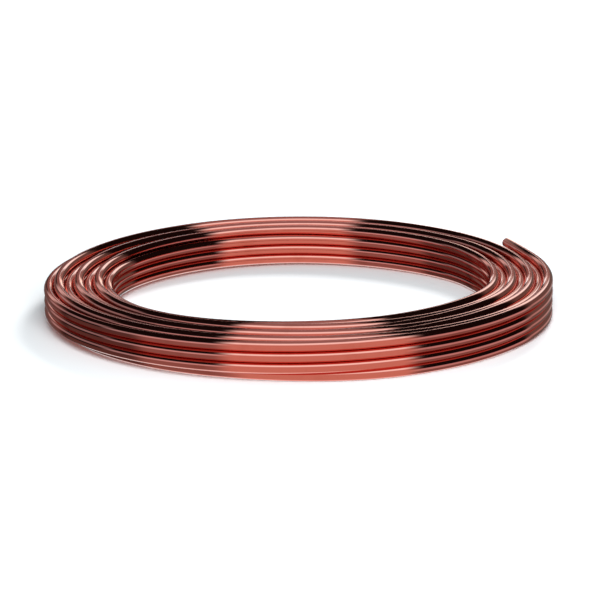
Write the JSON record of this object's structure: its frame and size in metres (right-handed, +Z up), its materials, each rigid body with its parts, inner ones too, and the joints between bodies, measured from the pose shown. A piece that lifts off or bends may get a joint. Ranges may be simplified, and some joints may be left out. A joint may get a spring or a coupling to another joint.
{
  "type": "copper tube coil",
  "caption": "Bare soft copper tube wound into a flat, level-wound ring with an open centre, its square-cut outer end sprung free at the top.",
  "frame": {"origin": "on the ring's axis, in the plane of the floor it lies on", "axes": "+Z up along the ring's axis; +X towards the side where the outer end leaves the ring, +Y away from the front"},
  "size_m": [0.7356, 0.7356, 0.0595],
  "materials": {
    "copper": "bright drawn copper, polished, with faint draw marks"
  },
  "bodies": {
    "root": {"copper_tube": "copper"}
  },
  "joints": []
}
